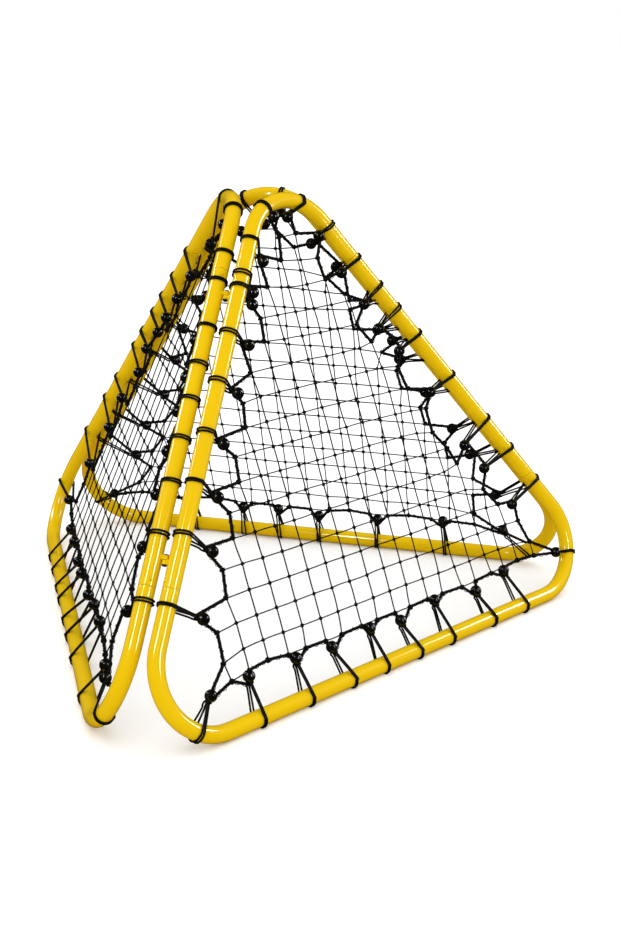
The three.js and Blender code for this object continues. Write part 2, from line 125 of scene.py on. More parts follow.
# Where each bungee goes round the tube and where its ball ends up. They are tied by hand,
# so they aren't even. Side bungees: distance of the wrap and of the ball up from the
# panel's sharp corner, and of the ball in from the tube's centre line. The others: the
# wrap and the ball, as x along the bottom rail and y up the panel. "front" is how far the
# balls stand in front of the middle of the tubes, and "net" is where a net knot lies. The
# "extra" knots are kept outside the margins, and their columns and rows count from there.
BUNGEES = {
    "front_right": {
        "front": 0.008,
        "net": (0.009, 0.095),
        "extra": [(9, 1), (9, 2)],
        "left": [(0.349, 0.349, 0.089), (0.508, 0.495, 0.075), (0.628, 0.614, 0.059),
                 (0.744, 0.734, 0.044), (0.868, 0.861, 0.052), (0.988, 0.982, 0.053),
                 (1.106, 1.079, 0.039), (1.141, 1.108, 0.034), (1.230, 1.195, 0.042)],
        "right": [(0.354, 0.380, 0.114), (0.474, 0.510, 0.109), (0.582, 0.596, 0.111),
                  (0.737, 0.762, 0.086), (0.881, 0.898, 0.080), (0.969, 0.979, 0.086),
                  (1.046, 1.048, 0.072), (1.134, 1.144, 0.064), (1.241, 1.247, 0.045)],
        "base": [(-0.462, -0.465, 0.094), (-0.318, -0.327, 0.092), (-0.184, -0.218, 0.085),
                 (-0.075, -0.091, 0.093), (0.042, 0.010, 0.082), (0.159, 0.137, 0.097),
                 (0.320, 0.286, 0.080), (0.447, 0.405, 0.102)],
        "left_corner": ((-0.634, 0.012), (-0.574, 0.085)),
        "right_corner": ((0.703, 0.070), (0.623, 0.095)),
        "left_crown": ((-0.070, 1.108), (-0.044, 1.073)),
        "right_crown": ((0.062, 1.119), (-0.002, 1.068)),
    },
    "front_left": {
        "front": 0.004,
        "net": (0.020, 0.098),
        "left": [(0.400, 0.434, 0.150), (0.550, 0.586, 0.142), (0.640, 0.672, 0.106),
                 (0.770, 0.802, 0.128), (0.830, 0.846, 0.080), (0.905, 0.929, 0.098),
                 (0.965, 0.986, 0.098), (1.040, 1.058, 0.100), (1.130, 1.148, 0.108)],
        "right": [(0.353, 0.348, 0.094), (0.503, 0.494, 0.092), (0.621, 0.615, 0.084),
                  (0.724, 0.718, 0.078), (0.820, 0.814, 0.072), (0.905, 0.897, 0.066),
                  (1.000, 0.990, 0.060), (1.118, 1.100, 0.050), (1.193, 1.182, 0.045)],
        "base": [(-0.417, -0.355, 0.108), (-0.309, -0.251, 0.109), (-0.185, -0.112, 0.103),
                 (-0.098, -0.030, 0.103), (0.038, 0.133, 0.109), (0.140, 0.224, 0.122),
                 (0.271, 0.337, 0.126), (0.477, 0.530, 0.105)],
        "left_corner": ((-0.687, 0.140), (-0.533, 0.136)),
        "right_corner": ((0.655, 0.045), (0.568, 0.092)),
        "left_crown": ((-0.034, 1.126), (-0.004, 0.993)),
        "right_crown": ((0.082, 1.106), (0.052, 1.050)),
    },
    "rear": {
        "front": 0.002,
        "net": (0.001, 0.094),
        "left": [(0.331, 0.329, 0.109), (0.470, 0.478, 0.092), (0.574, 0.572, 0.083),
                 (0.690, 0.704, 0.076), (0.800, 0.823, 0.073), (0.870, 0.878, 0.054),
                 (0.910, 0.923, 0.068), (1.000, 1.003, 0.050), (1.129, 1.126, 0.045),
                 (1.213, 1.211, 0.058)],
        "right": [(0.366, 0.364, 0.111), (0.488, 0.487, 0.091), (0.626, 0.625, 0.090),
                  (0.757, 0.756, 0.068), (0.869, 0.867, 0.045), (0.978, 0.976, 0.040),
                  (1.070, 1.068, 0.044), (1.150, 1.150, 0.045), (1.238, 1.234, 0.045)],
        "base": [(-0.389, -0.384, 0.099), (-0.190, -0.194, 0.082), (-0.018, -0.019, 0.074),
                 (0.104, 0.102, 0.085), (0.213, 0.210, 0.080), (0.362, 0.358, 0.088),
                 (0.462, 0.455, 0.094)],
        "left_corner": ((-0.632, 0.012), (-0.552, 0.086)),
        "right_corner": ((0.690, 0.045), (0.618, 0.082)),
        "left_crown": ((-0.032, 1.127), (-0.022, 1.070)),
        "right_crown": ((0.071, 1.116), (0.024, 1.028)),
    },
}

CAMERA_PLACE = (1.0474, -3.0792, 1.4241)
CAMERA_HEADING = math.radians(15.853)
CAMERA_PITCH = math.radians(-17.106)
CAMERA_ROLL = math.radians(0.261)
CAMERA_LENS = 54.47
CAMERA_SENSOR = 36.0
FLOOR_HALF = 60.0

Z_AXIS = np.array([0.0, 0.0, 1.0])


# ---------------------------------------------------------------- mesh making


class Skin:
    """Collects closed skins of quads, with a pattern coordinate at each face corner."""

    def __init__(self):
        self.points = []
        self.faces = []
        self.pattern = []
        self.count = 0

    def add_points(self, points):
        first = self.count
        self.points.append(np.asarray(points, float).reshape(-1, 3))
        self.count += len(self.points[-1])
        return first

    def add_loop(self, points):
        return list(range(self.add_points(points), self.count))

    def add_face(self, corners, pattern=None):
        self.faces.append(tuple(corners))
        self.pattern.append(pattern or [(0.0, 0.0)] * len(corners))

    def rings(self, rings, looped=False, along=None):
        """rings is (rings, sides, 3). Quads join each ring to the next, and caps end an open row."""
        rings = np.asarray(rings, float)
        number, sides = rings.shape[:2]
        first = self.add_points(rings)
        along = np.arange(number) * 1.0 if along is None else along
        for i in range(number if looped else number - 1):
            j = (i + 1) % number
            for k in range(sides):
                m = (k + 1) % sides
                here, there = first + i * sides, first + j * sides
                u, v = along[i], along[i + 1] if i + 1 < len(along) else along[i]
                a, b = k / sides, (k + 1) / sides
                corners = [here + k, here + m, there + m, there + k]
                self.add_face(corners, [(u, a), (u, b), (v, b), (v, a)])
        if not looped:
            last = first + (number - 1) * sides
            self.add_face([first + k for k in reversed(range(sides))])
            self.add_face([last + k for k in range(sides)])
        return first


def unit(v):
    v = np.asarray(v, float)
    return v / np.maximum(np.linalg.norm(v, axis=-1, keepdims=True), 1e-12)


def lengths_along(points):
    """Length of the line up to each of its points."""
    return np.concatenate([[0], np.cumsum(np.linalg.norm(np.diff(points, axis=0), axis=1))])


def carried_frames(points, first_normal, looped=False):
    """Tangent, normal and side direction at each point, turning as little as possible."""
    points = np.asarray(points, float)
    if looped:
        tangents = unit(np.roll(points, -1, 0) - np.roll(points, 1, 0))
    else:
        tangents = unit(np.gradient(points, axis=0))
    normals = np.zeros_like(points)
    normal = np.asarray(first_normal, float)
    for i, t in enumerate(tangents):
        normal = unit(normal - t * (normal @ t))
        normals[i] = normal
    return tangents, normals, np.cross(tangents, normals)


def sweep(skin, points, radius, sides, first_normal, looped=False, tangents=None):
    """A round tube along the points. radius is one number or one for each point."""
    points = np.asarray(points, float)
    t, n, b = carried_frames(points, first_normal, looped)
    if tangents is not None:
        t = unit(tangents)
        n = unit(n - t * (n * t).sum(1, keepdims=True))
        b = np.cross(t, n)
    radius = np.broadcast_to(radius, len(points))
    angle = np.arange(sides) * 2 * math.pi / sides
    ring = n[:, None] * np.cos(angle)[None, :, None] + b[:, None] * np.sin(angle)[None, :, None]
    rings = points[:, None] + ring * radius[:, None, None]
    skin.rings(rings, looped=looped, along=lengths_along(points))


def lathe(skin, profile, place, sides):
    """Turns (radius, height) points about the Z axis of place. A closed profile makes a ring."""
    angle = np.arange(sides) * 2 * math.pi / sides
    rings = []
    for radius, height in profile:
        ring = [(radius * math.cos(a), radius * math.sin(a), height) for a in angle]
        rings.append([tuple(place @ Vector(p)) for p in ring])
    looped = profile[0] == profile[-1]
    skin.rings(rings[:-1] if looped else rings, looped=looped)


def rounded(profile, radius):
    """The (radius, height) outline with its inner points rounded off."""
    result = [profile[0]]
    for before, corner, after in zip(profile, profile[1:], profile[2:]):
        a, c, b = (Vector(p) for p in (before, corner, after))
        reach_a = min(radius, (a - c).length / 2)
        reach_b = min(radius, (b - c).length / 2)
        start, end = c + (a - c).normalized() * reach_a, c + (b - c).normalized() * reach_b
        for i in range(ROUND_STEPS + 1):
            t = i / ROUND_STEPS
            point = start * (1 - t) ** 2 + c * 2 * t * (1 - t) + end * t**2
            result.append((point.x, point.y))
    result.append(profile[-1])
    return result


def new_object(name, data):
    thing = bpy.data.objects.new(name, data)
    bpy.context.scene.collection.objects.link(thing)
    return thing


def make_piece(name, skin, material, body, replaced=(), place=None):
    mesh = bpy.data.meshes.new(name)
    points = np.concatenate(skin.points)
    if place is not None:
        m = np.array(place)
        points = points @ m[:3, :3].T + m[:3, 3]
    mesh.from_pydata(points.tolist(), [], skin.faces)
    pattern = mesh.attributes.new("pattern", "FLOAT2", "CORNER")
    flat = [value for corner in skin.pattern for pair in corner for value in pair]
    pattern.data.foreach_set("vector", flat)
    mesh.materials.append(material)
    mesh.polygons.foreach_set("use_smooth", [True] * len(mesh.polygons))
    mesh.update()
    mesh.set_sharp_from_angle(angle=SHARP_ANGLE)
    piece = new_object(name, mesh)
    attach(piece, body)
    if replaced:
        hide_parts(*replaced)


# ---------------------------------------------------------------- materials


def new_material(name):
    material = bpy.data.materials.new(name)
    material.use_nodes = True
    tree = material.node_tree
    return material, tree, tree.nodes["Principled BSDF"]


def preset(node, values):
    for socket, value in values.items():
        node.inputs[socket].default_value = value


def object_noise(tree, scale, detail=3.0, roughness=0.5):
    coordinates = tree.nodes.new("ShaderNodeTexCoord")
    noise = tree.nodes.new("ShaderNodeTexNoise")
    preset(noise, {"Scale": scale, "Detail": detail, "Roughness": roughness})
    tree.links.new(coordinates.outputs["Object"], noise.inputs["Vector"])
    return noise.outputs["Fac"]


def ramp(tree, value, stops):
    node = tree.nodes.new("ShaderNodeValToRGB")
    elements = node.color_ramp.elements
    for i, (position, color) in enumerate(stops):
        element = elements[i] if i < 2 else elements.new(position)
        element.position = position
        element.color = (*color, 1.0)
    tree.links.new(value, node.inputs["Fac"])
    return node.outputs["Color"]


def spread(tree, value, low, high):
    node = tree.nodes.new("ShaderNodeMapRange")
    preset(node, {"From Min": 0.3, "From Max": 0.7, "To Min": low, "To Max": high})
    tree.links.new(value, node.inputs["Value"])
    return node.outputs["Result"]


def arithmetic(tree, operation, first, second=0.0):
    node = tree.nodes.new("ShaderNodeMath")
    node.operation = operation
    for i, value in enumerate((first, second)):
        if isinstance(value, (int, float)):
            node.inputs[i].default_value = value
        else:
            tree.links.new(value, node.inputs[i])
    return node.outputs[0]


def colour_and_gloss(tree, shader, shade, stops, grain, low, high):
    """Colour from one pattern by a ramp, and roughness between two values from another."""
    tree.links.new(ramp(tree, shade, stops), shader.inputs["Base Color"])
    tree.links.new(spread(tree, grain, low, high), shader.inputs["Roughness"])


def add_bump(tree, shader, height, strength, distance):
    bump = tree.nodes.new("ShaderNodeBump")
    preset(bump, {"Strength": strength, "Distance": distance})
    tree.links.new(height, bump.inputs["Height"])
    tree.links.new(bump.outputs["Normal"], shader.inputs["Normal"])


def powder_coat():
    material, tree, shader = new_material("yellow_powder_coat")
    shade = object_noise(tree, 5.0, 3.0)
    stops = [(0.30, (0.780, 0.505, 0.0005)), (0.55, (0.800, 0.522, 0.0006))]
    stops.append((0.75, (0.815, 0.536, 0.0008)))
    colour_and_gloss(tree, shader, shade, stops, object_noise(tree, 45.0, 5.0), 0.30, 0.38)
    preset(shader, {"Specular IOR Level": 0.08, "Specular Tint": (1.0, 0.80, 0.15, 1.0)})
    preset(shader, {"Coat Weight": 0.9, "Coat Roughness": 0.10})
    add_bump(tree, shader, object_noise(tree, 260.0, 2.0), 0.02, 0.00006)
    return material


def braid_height(tree, turns_per_metre, threads):
    """Height of a braided sheath from the pattern coordinate: length along, share around."""
    pattern = tree.nodes.new("ShaderNodeAttribute")
    pattern.attribute_name = "pattern"
    parts = tree.nodes.new("ShaderNodeSeparateXYZ")
    tree.links.new(pattern.outputs["Vector"], parts.inputs["Vector"])
    along = arithmetic(tree, "MULTIPLY", parts.outputs["X"], turns_per_metre * 2 * math.pi)
    around = arithmetic(tree, "MULTIPLY", parts.outputs["Y"], threads * 2 * math.pi)
    rising = arithmetic(tree, "SINE", arithmetic(tree, "ADD", along, around))
    falling = arithmetic(tree, "SINE", arithmetic(tree, "SUBTRACT", along, around))
    return arithmetic(tree, "MAXIMUM", rising, falling)


def braided_cord():
    material, tree, shader = new_material("black_elastic_cord")
    height = braid_height(tree, 260.0, 6)
    # Colour follows the braid's height: its grooves are painted darker and its crests lighter, painted
    # shade in the grooves of a cord that is black all over.
    stops = [(0.0, (0.0010, 0.0010, 0.0016)), (0.8, (0.0026, 0.0026, 0.0036))]
    colour_and_gloss(tree, shader, height, stops, object_noise(tree, 160.0, 4.0), 0.55, 0.78)
    preset(shader, {"Specular IOR Level": 0.15})
    add_bump(tree, shader, height, 0.5, 0.0003)
    return material


def fibre_rope(name, low, high, turns_per_metre, threads):
    material, tree, shader = new_material(name)
    fibres = braid_height(tree, turns_per_metre, threads)
    grain = object_noise(tree, 900.0, 5.0, 0.7)
    colour_and_gloss(tree, shader, grain, [(0.25, low), (0.75, high)], grain, 0.62, 0.88)
    preset(shader, {"Specular IOR Level": 0.10})
    add_bump(tree, shader, arithmetic(tree, "ADD", fibres, grain), 0.6, 0.0002)
    return material


def ball_plastic():
    material, tree, shader = new_material("black_ball_plastic")
    smear = object_noise(tree, 70.0, 4.0)
    stops = [(0.3, (0.0018, 0.0018, 0.0021)), (0.7, (0.0038, 0.0038, 0.0042))]
    colour_and_gloss(tree, shader, smear, stops, smear, 0.12, 0.22)
    preset(shader, {"Specular IOR Level": 0.35})
    add_bump(tree, shader, object_noise(tree, 500.0), 0.05, 0.0002)
    return material


def pin_plastic():
    material, tree, shader = new_material("black_pin_nylon")
    grain = object_noise(tree, 800.0, 4.0)
    stops = [(0.3, (0.006, 0.006, 0.0065)), (0.7, (0.013, 0.013, 0.014))]
    colour_and_gloss(tree, shader, grain, stops, grain, 0.42, 0.60)
    add_bump(tree, shader, grain, 0.15, 0.0002)
    return material


YELLOW = powder_coat()
CORD = braided_cord()
FIBRE_BLACK = (0.0018, 0.0018, 0.0020)
ROPE = fibre_rope("black_border_rope", FIBRE_BLACK, (0.0060, 0.0058, 0.0054), 500.0, 5)
TWINE = fibre_rope("black_net_twine", FIBRE_BLACK, (0.0050, 0.0048, 0.0045), 420.0, 2)
BALL = ball_plastic()
PIN = pin_plastic()


# ---------------------------------------------------------------- the panel's plane


def side_direction(side):
    return np.array([-side * math.cos(BASE_ANGLE), math.sin(BASE_ANGLE), 0.0])


def side_outward(side):
    return np.array([side * math.sin(BASE_ANGLE), math.cos(BASE_ANGLE), 0.0])


def side_point(side, distance):
    return np.array([side * HALF_BASE, 0.0, 0.0]) + side_direction(side) * distance


def arc(centre, radius, start, end):
    """Points and tangents of an arc in the panel's plane."""
    angle = np.linspace(start, end, BEND_STEPS + 1)
    turn = math.copysign(1, end - start)
    flat = np.zeros_like(angle)
    points = centre + radius * np.stack([np.cos(angle), np.sin(angle), flat], 1)
    tangents = turn * np.stack([-np.sin(angle), np.cos(angle), flat], 1)
    return points, tangents


def corner_arc(side):
    """The lower bend, in the direction that goes round the panel anticlockwise."""
    centre = np.array([side * (HALF_BASE - CORNER_TANGENT), CORNER_RADIUS, 0.0])
    if side > 0:
        return arc(centre, CORNER_RADIUS, -math.pi / 2, OUTWARD_TURN)
    return arc(centre, CORNER_RADIUS, math.pi - OUTWARD_TURN, 1.5 * math.pi)


def crown_arc():
    centre = np.array([0.0, APEX_HEIGHT - CROWN_RADIUS / math.cos(BASE_ANGLE), 0.0])
    return arc(centre, CROWN_RADIUS, OUTWARD_TURN, math.pi - OUTWARD_TURN)


# Distance past the seam and radius of a reduced tube end, from its mouth to the full tube.
SPIGOT_STATIONS = [
    (SPIGOT_LENGTH, SPIGOT_RADIUS - RIM_ROUND),
    (SPIGOT_LENGTH - RIM_ROUND, SPIGOT_RADIUS),
    (SEAM_GAP, SPIGOT_RADIUS),
    (0.0, SPIGOT_RADIUS + RIM_ROUND / 2),
    (0.0, TUBE_RADIUS - RIM_ROUND),
    (-RIM_ROUND / 3, TUBE_RADIUS - RIM_ROUND / 3),
    (-RIM_ROUND, TUBE_RADIUS),
    (-4 * RIM_ROUND, TUBE_RADIUS),
]


def bent_tube(skin, bends, first_seam, last_seam):
    """One tube with a reduced end at each seam and the given bends between them.
    A seam is its point and the direction in which the tube runs there."""
    seam, way = first_seam
    stations = [(seam - way * past, way, radius) for past, radius in SPIGOT_STATIONS]
    for bend in bends:
        stations += [(point, tangent, TUBE_RADIUS) for point, tangent in zip(*bend)]
    seam, way = last_seam
    stations += [(seam + way * past, way, radius) for past, radius in reversed(SPIGOT_STATIONS)]
    points, tangents, radii = (np.array(column) for column in zip(*stations))
    sweep(skin, points, radii, TUBE_SIDES, Z_AXIS, tangents=tangents)


def pierced_tube(skin, length, holes):
    """A straight open tube along Z with round holes through the wall that faces +X."""
    step = 2 * math.pi / TUBE_SIDES
    cell = TUBE_RADIUS * step
    inner = TUBE_RADIUS - TUBE_WALL
    heights = [4 * RIM_ROUND, length - 4 * RIM_ROUND]
    for hole in holes:
        heights += [hole + i * cell for i in range(-HOLE_CELLS, HOLE_CELLS + 1)]
    heights.sort()

    def circle(radius, z):
        return [(radius * math.cos(i * step), radius * math.sin(i * step), z) for i in range(TUBE_SIDES)]

    walls = {}
    for wall, radius in (("outer", TUBE_RADIUS), ("inner", inner)):
        walls[wall] = skin.add_points([circle(radius, z) for z in heights])

    def index(wall, row, column):
        return walls[wall] + row * TUBE_SIDES + column % TUBE_SIDES

    def add(corners, outward):
        skin.add_face(corners if outward else corners[::-1])

    def join(loops, outward=True):
        for a, b in zip(loops, loops[1:]):
            for k in range(len(a)):
                m = (k + 1) % len(a)
                add([a[k], a[m], b[m], b[k]], outward)

    middles = [heights.index(hole) for hole in holes]
    for wall in ("outer", "inner"):
        for row in range(len(heights) - 1):
            pierced = any(m - HOLE_CELLS <= row < m + HOLE_CELLS for m in middles)
            for column in range(-TUBE_SIDES // 2, TUBE_SIDES // 2):
                if pierced and -HOLE_CELLS <= column < HOLE_CELLS:
                    continue
                corners = [index(wall, row, column), index(wall, row, column + 1)]
                corners += [index(wall, row + 1, column + 1), index(wall, row + 1, column)]
                add(corners, wall == "outer")
    cells = range(-HOLE_CELLS, HOLE_CELLS + 1)
    edge = [(i, j) for i in cells for j in cells if HOLE_CELLS in (abs(i), abs(j))]
    edge.sort(key=lambda spot: math.atan2(spot[1], spot[0]) % (2 * math.pi))
    number = len(edge)
    for hole, middle in zip(holes, middles):
        loops = [[index("outer", middle + j, i) for i, j in edge]]
        bevel = RIM_ROUND / 2
        for radius, width in (
            (TUBE_RADIUS, BUTTON_HOLE_RADIUS + bevel),
            (TUBE_RADIUS - bevel, BUTTON_HOLE_RADIUS),
            (inner, BUTTON_HOLE_RADIUS),
        ):
            ring = []
            for k in range(number):
                angle = 2 * math.pi * k / number
                turn = width * math.cos(angle) / TUBE_RADIUS
                height = hole + width * math.sin(angle)
                ring.append((radius * math.cos(turn), radius * math.sin(turn), height))
            loops.append(skin.add_loop(ring))
        loops.append([index("inner", middle + j, i) for i, j in edge])
        join(loops)
    for row, end, way in ((0, 0.0, 1), (len(heights) - 1, length, -1)):
        rims = [[index("outer", row, i) for i in range(TUBE_SIDES)]]
        for radius, inset in (
            (TUBE_RADIUS, RIM_ROUND),
            (TUBE_RADIUS - RIM_ROUND / 3, RIM_ROUND / 3),
            (TUBE_RADIUS - RIM_ROUND, 0.0),
            (inner, 0.0),
        ):
            rims.append(skin.add_loop(circle(radius, end + way * inset)))
        rims.append([index("inner", row, i) for i in range(TUBE_SIDES)])
        join(rims, way < 0)


def basis(position, x_axis, z_axis):
    """Matrix of a place whose X and Z axes are given."""
    x, z = Vector(x_axis).normalized(), Vector(z_axis).normalized()
    y = z.cross(x)
    m = Matrix((x, y, z)).transposed().to_4x4()
    m.translation = Vector(position)
    return m


# ---------------------------------------------------------------- frame pieces

SIDES = {"left": -1, "right": 1}


def add_lower_tube(name, body, place):
    skin = Skin()
    left, right = side_point(-1, LOWER_SEAM), side_point(1, LOWER_SEAM)
    bends = [corner_arc(-1), corner_arc(1)]
    bent_tube(skin, bends, (left, -side_direction(-1)), (right, side_direction(1)))
    nodes = [f"{name}_base_rail", f"{name}_corner_left", f"{name}_corner_right"]
    make_piece(f"{name}_lower_tube", skin, YELLOW, body, nodes, place)


def add_crown_tube(name, body, place):
    skin = Skin()
    right, left = side_point(1, UPPER_SEAM), side_point(-1, UPPER_SEAM)
    bent_tube(skin, [crown_arc()], (right, side_direction(1)), (left, -side_direction(-1)))
    make_piece(f"{name}_crown_tube", skin, YELLOW, body, [f"{name}_crown"], place)


def add_side_tube(name, side_name, body, place):
    side = SIDES[side_name]
    skin = Skin()
    length = UPPER_SEAM - LOWER_SEAM - 2 * SEAM_GAP
    setback = BUTTON_SETBACK - SEAM_GAP
    pierced_tube(skin, length, [setback, length - setback])
    start = side_point(side, LOWER_SEAM + SEAM_GAP)
    stand = place @ basis(start, side_outward(side), side_direction(side))
    node = f"{name}_side_{side_name}"
    make_piece(f"{node}_tube", skin, YELLOW, body, [node], stand)


# Outline (radius, height) of a snap button, and of its spring leaf (x, half width).
BUTTON_OUTLINE = [(0.0005, 0.0128), (0.0040, 0.0128), (0.0040, 0.0192), (0.0036, 0.0203),
                  (0.0026, 0.0210), (0.0012, 0.02118), (0.0002, 0.0212)]
LEAF_OUTLINE = ((-0.017, 0.0030), (-0.0165, 0.0045), (0.0165, 0.0045), (0.017, 0.0030))
LEAF_LOW, LEAF_HIGH = 0.0126, 0.0135


def add_button(name, level, side_name, place):
    """Domed snap button with the end of its spring leaf below it."""
    side = SIDES[side_name]
    node = f"{name}_button_{level}_{side_name}"
    distance = LOWER_SEAM + BUTTON_SETBACK if level == "lower" else UPPER_SEAM - BUTTON_SETBACK
    stand = place @ basis(side_point(side, distance), side_direction(side), side_outward(side))
    skin = Skin()
    lathe(skin, BUTTON_OUTLINE, Matrix(), SMALL_SIDES)
    leaf = []
    for x, half in LEAF_OUTLINE:
        corners = ((half, LEAF_LOW), (half, LEAF_HIGH), (-half, LEAF_HIGH), (-half, LEAF_LOW))
        leaf.append([(x, y, z) for y, z in corners])
    skin.rings(leaf)
    make_piece(f"{node}_dome", skin, YELLOW, node, [node], stand)


def hinge_stand(side, distance, place):
    """At the hinge's axis: X away from the side tube, Z up the side."""
    away = side_outward(side) * math.sin(HALF_DIHEDRAL) - Z_AXIS * math.cos(HALF_DIHEDRAL)
    axis = side_point(side, distance) + away * EDGE_SPACING / 2
    return place @ basis(axis, away, side_direction(side))


# A knuckle's saddle (distance from the hinge's axis, half width), from inside the tube's
# wall to the barrel, and the weld bead that runs round the saddle's foot.
BARREL_ROUND = 0.0012
BORE_BEVEL = 0.0004
SADDLE_FOOT = EDGE_SPACING / 2 - TUBE_RADIUS + 0.0012
SADDLE_OUTLINE = ((-SADDLE_FOOT - 0.001, 0.0078), (-SADDLE_FOOT + 0.0024, 0.0070),
                  (-0.0038, 0.0062), (-0.0032, 0.0052))
SADDLE_BEVEL = 0.0011
WELD_HALF_WIDTH = 0.0082
WELD_CORNER = 0.0016
WELD_OVERHANG = 0.0004
WELD_STEPS = 5
WELD_RADIUS = 0.00115
WELD_RIPPLE = 0.00018
STEPS_PER_RIPPLE = 2.5


def add_knuckle(node, side, distance, level, body, place):
    """Barrel with its saddle and the weld round the saddle's foot."""
    skin = Skin()
    stand = hinge_stand(side, distance, place)
    low = KNUCKLE_GAP if level > 0 else -KNUCKLE_GAP - KNUCKLE_LENGTH
    high = low + KNUCKLE_LENGTH
    bore = PIN_RADIUS + 2 * KNUCKLE_GAP
    middle = (bore + KNUCKLE_RADIUS) / 2
    outline = [(middle, low), (KNUCKLE_RADIUS, low), (KNUCKLE_RADIUS, high), (middle, high)]
    barrel = rounded(outline, BARREL_ROUND)
    barrel += [(bore + BORE_BEVEL, high), (bore, high - BORE_BEVEL)]
    barrel += [(bore, low + BORE_BEVEL), (bore + BORE_BEVEL, low), barrel[0]]
    lathe(skin, barrel, Matrix(), KNUCKLE_SIDES)
    rings = []
    ends = ((0, SADDLE_BEVEL), (SADDLE_BEVEL * 0.35, SADDLE_BEVEL * 0.3), (SADDLE_BEVEL, 0))
    levels = [(low + rise, inset) for rise, inset in ends]
    levels += [(high - rise, inset) for rise, inset in reversed(ends)]
    for z, inset in levels:
        ring = [(x, half - inset, z) for x, half in SADDLE_OUTLINE]
        ring += [(x, -y, z) for x, y, z in reversed(ring)]
        rings.append(ring[::-1])
    skin.rings(rings)
    bead = []
    half, shoulder = WELD_HALF_WIDTH, WELD_HALF_WIDTH - WELD_CORNER
    outline = [(half, low + WELD_CORNER), (half, high - WELD_CORNER), (shoulder, high + WELD_OVERHANG)]
    outline += [(-y, z) for y, z in reversed(outline)]
    outline += [(-shoulder, low - WELD_OVERHANG), (shoulder, low - WELD_OVERHANG)]
    for (y0, z0), (y1, z1) in zip(outline, outline[1:] + outline[:1]):
        for i in range(WELD_STEPS):
            y, z = y0 + (y1 - y0) * i / WELD_STEPS, z0 + (z1 - z0) * i / WELD_STEPS
            bead.append((-EDGE_SPACING / 2 + math.sqrt(TUBE_RADIUS**2 - y * y) + 0.0002, y, z))
    ripple = np.cos(np.arange(len(bead)) * 2 * math.pi / STEPS_PER_RIPPLE)
    sweep(skin, bead, WELD_RADIUS + WELD_RIPPLE * ripple, 8, (1, 0, 0), looped=True)
    make_piece(f"{node}_welded", skin, YELLOW, body, [node], stand)


def add_pin(node, side, distance, drawn, body, place):
    """Headed pin. A drawn pin stands in the upper knuckle only."""
    top = 2 * KNUCKLE_GAP + KNUCKLE_LENGTH
    bottom = KNUCKLE_GAP if drawn else -top
    profile = [(0.0002, bottom)]
    if not drawn:
        head = bottom - PIN_HEAD_LENGTH
        profile = [(0.0002, head), (PIN_HEAD_RADIUS, head), (PIN_HEAD_RADIUS, bottom)]
    profile += [(PIN_RADIUS, bottom), (PIN_RADIUS, top), (PIN_HEAD_RADIUS, top)]
    profile += [(PIN_HEAD_RADIUS, top + PIN_HEAD_LENGTH), (0.0002, top + PIN_HEAD_LENGTH)]
    skin = Skin()
    lathe(skin, rounded(profile, PIN_ROUND), Matrix(), SMALL_SIDES)
    stand = hinge_stand(side, distance, place)
    make_piece(f"{node}_turned", skin, PIN, body, [node], stand)


# ---------------------------------------------------------------- net, rope and bungees


def centre_line():
    """Points and tangents of the panel's closed centre line, at small steps."""
    points, tangents = [], []
    parts = [corner_arc(-1)[0], corner_arc(1)[0], crown_arc()[0]]
    corners = np.concatenate(parts)
    for a, b in zip(corners, np.roll(corners, -1, 0)):
        steps = max(1, int(np.linalg.norm(b - a) / LINE_STEP))
        for i in range(steps):
            points.append(a + (b - a) * i / steps)
            tangents.append(unit(b - a))
    return np.array(points), np.array(tangents)


LINE_POINTS, LINE_TANGENTS = centre_line()


def on_tube(point):
    """Nearest point of the centre line, the tangent there and the way in to the net."""
    i = int(np.argmin(np.linalg.norm(LINE_POINTS - point, axis=1)))
    tangent = LINE_TANGENTS[i]
    return LINE_POINTS[i], tangent, np.array([-tangent[1], tangent[0], 0.0])


def bungee_places(name):
    """(group, wrap point, ball point) of each bungee, anticlockwise from the bottom left."""
    ties = BUNGEES[name]

    def flat(place):
        return np.array([*place, 0.0])

    def side_places(side_name):
        side = SIDES[side_name]
        found = []
        for wrap, ball, offset in ties[side_name]:
            point = side_point(side, ball) - side_outward(side) * offset
            found.append((side_name, side_point(side, wrap), point))
        return found

    def lone(side_name, part):
        return side_name, *(flat(place) for place in ties[f"{side_name}_{part}"])

    places = [("base", flat((wrap, 0.0)), flat((x, y))) for wrap, x, y in ties["base"]]
    places += [lone("right", "corner"), *side_places("right"), lone("right", "crown")]
    places += [lone("left", "crown"), *reversed(side_places("left")), lone("left", "corner")]
    return places


def crest_of(wrap, ball, front):
    """Where the border rope passes through a bungee, beside its ball."""
    toward = unit(on_tube(wrap)[0] - ball)
    return ball + toward * (BALL_RADIUS + CREST_GAP) + Z_AXIS * (front - CREST_DROP)


def fits_net(point, ties):
    """Whether a knot of the net has room inside the balls."""
    for side_name, side in SIDES.items():
        v = point - side_point(side, 0)
        along, off = v @ side_direction(side), -(v @ side_outward(side))
        balls = np.array(ties[side_name])
        margin = NET_MARGIN - NET_MARGIN_DROP * along / SIDE_LENGTH
        if off < np.interp(along, balls[:, 1], balls[:, 2]) + margin:
            return False
        if side * point[0] > abs(ties[f"{side_name}_corner"][1][0]) - CORNER_MARGIN:
            return False
        crown = ties[f"{side_name}_crown"][1]
        if side * (point[0] - crown[0]) > 0 and point[1] > crown[1] + CROWN_RISE:
            return False
    return True


